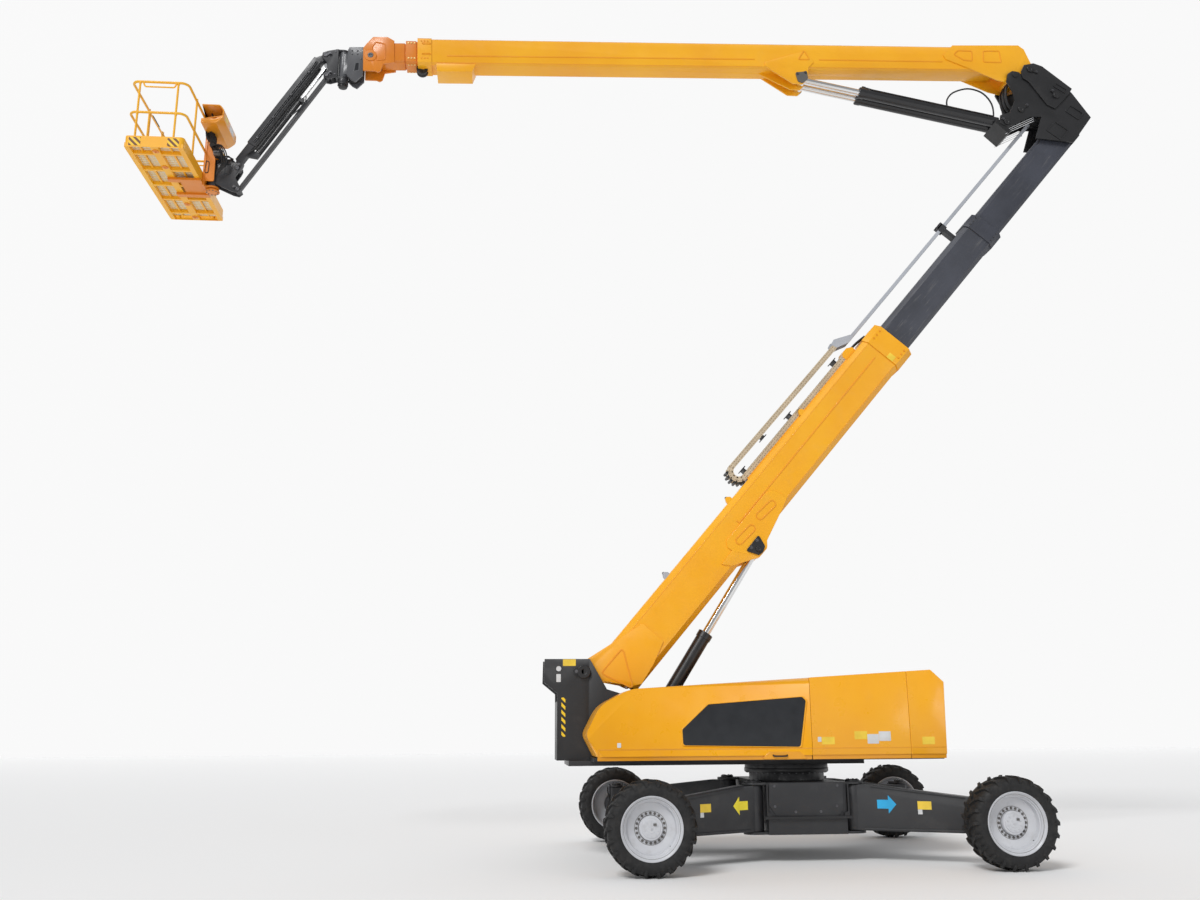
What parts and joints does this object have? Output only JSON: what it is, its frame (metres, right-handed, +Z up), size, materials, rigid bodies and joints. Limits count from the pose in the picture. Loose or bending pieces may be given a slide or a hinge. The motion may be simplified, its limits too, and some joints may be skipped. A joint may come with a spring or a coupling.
{
  "type": "articulating boom lift",
  "caption": "Wheeled aerial work platform: a telescopic tower boom on a slewing turntable carries a folding telescopic main boom, a short jib and a railed basket with controls.",
  "frame": {"origin": "on the ground under the slew axis", "axes": "+Z up, +X along the machine from the basket to the counterweight, +Y away from the side that the picture shows"},
  "size_m": [15.701, 4.945, 13.3342],
  "materials": {
    "chassis_grey": "satin",
    "frame_black": "satin",
    "machine_yellow": "gloss",
    "boom_grey": "satin",
    "rim_white": "satin",
    "tyre_rubber": "matte",
    "engine_iron": "matte",
    "cylinder_black": "gloss",
    "rod_chrome": "polished",
    "chain_plastic": "matte",
    "pin_steel": "satin",
    "basket_yellow": "satin",
    "nose_orange": "satin",
    "floor_mesh": "satin",
    "console_orange": "satin"
  },
  "bodies": {
    "chassis": {"chassis_frame": "chassis_grey"},
    "axle_arm_front_left": {"axle_arm_front_left": "chassis_grey"},
    "knuckle_front_left": {"knuckle_front_left": "chassis_grey"},
    "wheel_front_left": {"rim_front_left": "rim_white", "tyre_front_left": "tyre_rubber"},
    "axle_arm_front_right": {"axle_arm_front_right": "chassis_grey"},
    "knuckle_front_right": {"knuckle_front_right": "chassis_grey"},
    "wheel_front_right": {"rim_front_right": "rim_white", "tyre_front_right": "tyre_rubber"},
    "axle_arm_rear_left": {"axle_arm_rear_left": "chassis_grey"},
    "knuckle_rear_left": {"knuckle_rear_left": "chassis_grey"},
    "wheel_rear_left": {"rim_rear_left": "rim_white", "tyre_rear_left": "tyre_rubber"},
    "axle_arm_rear_right": {"axle_arm_rear_right": "chassis_grey"},
    "knuckle_rear_right": {"knuckle_rear_right": "chassis_grey"},
    "wheel_rear_right": {"rim_rear_right": "rim_white", "tyre_rear_right": "tyre_rubber"},
    "turntable": {"turntable_frame": "frame_black", "hood_centre": "machine_yellow", "counterweight": "machine_yellow", "engine": "engine_iron"},
    "hood_cover_left": {"hood_cover_left": "machine_yellow"},
    "hood_cover_right": {"hood_cover_right": "machine_yellow"},
    "tower_base": {"tower_base": "machine_yellow", "lift_rod": "rod_chrome", "energy_chain": "chain_plastic"},
    "lift_barrel": {"lift_barrel": "cylinder_black"},
    "tower_mid": {"tower_mid": "boom_grey"},
    "tower_fly": {"tower_fly": "boom_grey", "elbow": "frame_black", "elbow_link": "frame_black"},
    "boom": {"boom_base": "machine_yellow", "luff_rods": "rod_chrome"},
    "luff_barrels": {"luff_barrels": "cylinder_black"},
    "boom_stage_one": {"boom_stage_one": "nose_orange"},
    "boom_nose": {"boom_nose": "nose_orange"},
    "level_pin": {"level_pin": "pin_steel"},
    "jib_head": {"jib_head": "boom_grey"},
    "jib_bracket": {"jib_bracket": "frame_black"},
    "jib": {"jib_arm": "frame_black", "jib_barrel": "cylinder_black"},
    "jib_rod": {"jib_rod": "rod_chrome"},
    "jib_link": {"jib_link": "frame_black"},
    "jib_end": {"jib_end": "frame_black"},
    "basket": {"basket_support": "basket_yellow", "basket_frame": "basket_yellow", "basket_floor": "floor_mesh", "console": "console_orange"},
    "basket_gate": {"basket_gate": "basket_yellow"}
  },
  "joints": [
    {"name": "arm_fold_front_left", "type": "hinge", "parent": "chassis", "child": "axle_arm_front_left", "pos_m": [-0.7, -0.9, 0.7], "axis": [0, 0, -1], "range_deg": [0, 39.6]},
    {"name": "steer_front_left", "type": "hinge", "parent": "axle_arm_front_left", "child": "knuckle_front_left", "pos_m": [-2.311, -1.78, 0.63], "axis": [0, 0, 1], "range_deg": [-40, 40]},
    {"name": "spin_front_left", "type": "hinge", "parent": "knuckle_front_left", "child": "wheel_front_left", "pos_m": [-2.311, -2.25, 0.5775], "axis": [0, 1, 0], "continuous": true},
    {"name": "arm_fold_front_right", "type": "hinge", "parent": "chassis", "child": "axle_arm_front_right", "pos_m": [-0.7, 0.9, 0.7], "axis": [0, 0, 1], "range_deg": [0, 39.6]},
    {"name": "steer_front_right", "type": "hinge", "parent": "axle_arm_front_right", "child": "knuckle_front_right", "pos_m": [-2.311, 1.78, 0.63], "axis": [0, 0, -1], "range_deg": [-40, 40]},
    {"name": "spin_front_right", "type": "hinge", "parent": "knuckle_front_right", "child": "wheel_front_right", "pos_m": [-2.311, 2.25, 0.5775], "axis": [0, 1, 0], "continuous": true},
    {"name": "arm_fold_rear_left", "type": "hinge", "parent": "chassis", "child": "axle_arm_rear_left", "pos_m": [0.7, -0.9, 0.7], "axis": [0, 0, 1], "range_deg": [0, 39.6]},
    {"name": "steer_rear_left", "type": "hinge", "parent": "axle_arm_rear_left", "child": "knuckle_rear_left", "pos_m": [2.311, -1.78, 0.63], "axis": [0, 0, -1], "range_deg": [-40, 40]},
    {"name": "spin_rear_left", "type": "hinge", "parent": "knuckle_rear_left", "child": "wheel_rear_left", "pos_m": [2.311, -2.25, 0.5775], "axis": [0, 1, 0], "continuous": true},
    {"name": "arm_fold_rear_right", "type": "hinge", "parent": "chassis", "child": "axle_arm_rear_right", "pos_m": [0.7, 0.9, 0.7], "axis": [0, 0, -1], "range_deg": [0, 39.6]},
    {"name": "steer_rear_right", "type": "hinge", "parent": "axle_arm_rear_right", "child": "knuckle_rear_right", "pos_m": [2.311, 1.78, 0.63], "axis": [0, 0, 1], "range_deg": [-40, 40]},
    {"name": "spin_rear_right", "type": "hinge", "parent": "knuckle_rear_right", "child": "wheel_rear_right", "pos_m": [2.311, 2.25, 0.5775], "axis": [0, 1, 0], "continuous": true},
    {"name": "slew", "type": "hinge", "parent": "chassis", "child": "turntable", "pos_m": [0, 0, 1.265], "axis": [0, 0, 1], "continuous": true},
    {"name": "hood_open_left", "type": "hinge", "parent": "turntable", "child": "hood_cover_left", "pos_m": [-2.42, -0.388, 2.268], "axis": [-0.9983, 0, -0.059], "range_deg": [0, 60]},
    {"name": "hood_open_right", "type": "hinge", "parent": "turntable", "child": "hood_cover_right", "pos_m": [-2.42, 0.388, 2.268], "axis": [0.9983, 0, 0.059], "range_deg": [0, 60]},
    {"name": "tower_lift", "type": "hinge", "parent": "turntable", "child": "tower_base", "pos_m": [-2.99, 0, 2.567], "axis": [0, -1, 0], "range_deg": [-49.5, 25]},
    {"name": "lift_extend", "type": "slide", "parent": "tower_base", "child": "lift_barrel", "axis": [-0.5401, 0, -0.8416], "range_m": [-1.05, 0.54]},
    {"name": "tower_extend", "type": "slide", "parent": "tower_base", "child": "tower_mid", "axis": [0.6494, 0, 0.7604], "range_m": [-2.35, 0]},
    {"name": "tower_fly_extend", "type": "slide", "parent": "tower_mid", "child": "tower_fly", "axis": [0.6494, 0, 0.7604], "range_m": [-1.645, 0]},
    {"name": "boom_lift", "type": "hinge", "parent": "tower_fly", "child": "boom", "pos_m": [4.55, 0, 12.71], "axis": [0, 1, 0], "range_deg": [-44, 70]},
    {"name": "luff_extend", "type": "slide", "parent": "boom", "child": "luff_barrels", "axis": [0.9817, 0, -0.1906], "range_m": [-0.66, 0.98]},
    {"name": "boom_extend", "type": "slide", "parent": "boom", "child": "boom_stage_one", "axis": [-0.9994, 0, -0.0349], "range_m": [0, 5]},
    {"name": "nose_extend", "type": "slide", "parent": "boom_stage_one", "child": "boom_nose", "axis": [-0.9994, 0, -0.0349], "range_m": [0, 5]},
    {"name": "tower_level", "type": "hinge", "parent": "boom_nose", "child": "level_pin", "pos_m": [-6.48, 0, 12.6], "axis": [0, 1, 0], "range_deg": [-50, 26]},
    {"name": "boom_level", "type": "hinge", "parent": "level_pin", "child": "jib_head", "pos_m": [-6.48, 0, 12.6], "axis": [0, 1, 0], "range_deg": [-71, 48]},
    {"name": "jib_swing", "type": "hinge", "parent": "jib_head", "child": "jib_bracket", "pos_m": [-6.93, 0, 12.47], "axis": [0, 0, 1], "range_deg": [-60, 60]},
    {"name": "jib_lift", "type": "hinge", "parent": "jib_bracket", "child": "jib", "pos_m": [-7.22, 0, 12.62], "axis": [0, 1, 0], "range_deg": [-5, 115]},
    {"name": "jib_link_lift", "type": "hinge", "parent": "jib_bracket", "child": "jib_link", "pos_m": [-7.19, 0, 12.25], "axis": [0, 1, 0], "range_deg": [-5, 115]},
    {"name": "jib_rod_extend", "type": "slide", "parent": "jib", "child": "jib_rod", "axis": [0.5195, 0, 0.8545], "range_m": [-0.02, 0.26]},
    {"name": "jib_end_level", "type": "hinge", "parent": "jib", "child": "jib_end", "pos_m": [-8.50425, 0, 10.50778], "axis": [0, 1, 0], "range_deg": [-115, 5]},
    {"name": "basket_turn", "type": "hinge", "parent": "jib_end", "child": "basket", "pos_m": [-8.88, 0, 10.4], "axis": [0, 0, 1], "range_deg": [-80, 80]},
    {"name": "gate_open", "type": "hinge", "parent": "basket", "child": "basket_gate", "pos_m": [-9.851, 0.312, 11], "axis": [0, 0, 1], "range_deg": [0, 85]}
  ],
  "couplings": [
    {"joint": "lift_extend", "follows": "tower_lift", "m_per_rad": 1.2},
    {"joint": "tower_fly_extend", "follows": "tower_extend", "ratio": 0.7},
    {"joint": "luff_extend", "follows": "boom_lift", "m_per_rad": 0.8},
    {"joint": "nose_extend", "follows": "boom_extend", "ratio": 1},
    {"joint": "tower_level", "follows": "tower_lift", "ratio": 1},
    {"joint": "boom_level", "follows": "boom_lift", "ratio": -1},
    {"joint": "jib_link_lift", "follows": "jib_lift", "ratio": 1},
    {"joint": "jib_rod_extend", "follows": "jib_lift", "m_per_rad": 0.125},
    {"joint": "jib_end_level", "follows": "jib_lift", "ratio": -1}
  ]
}
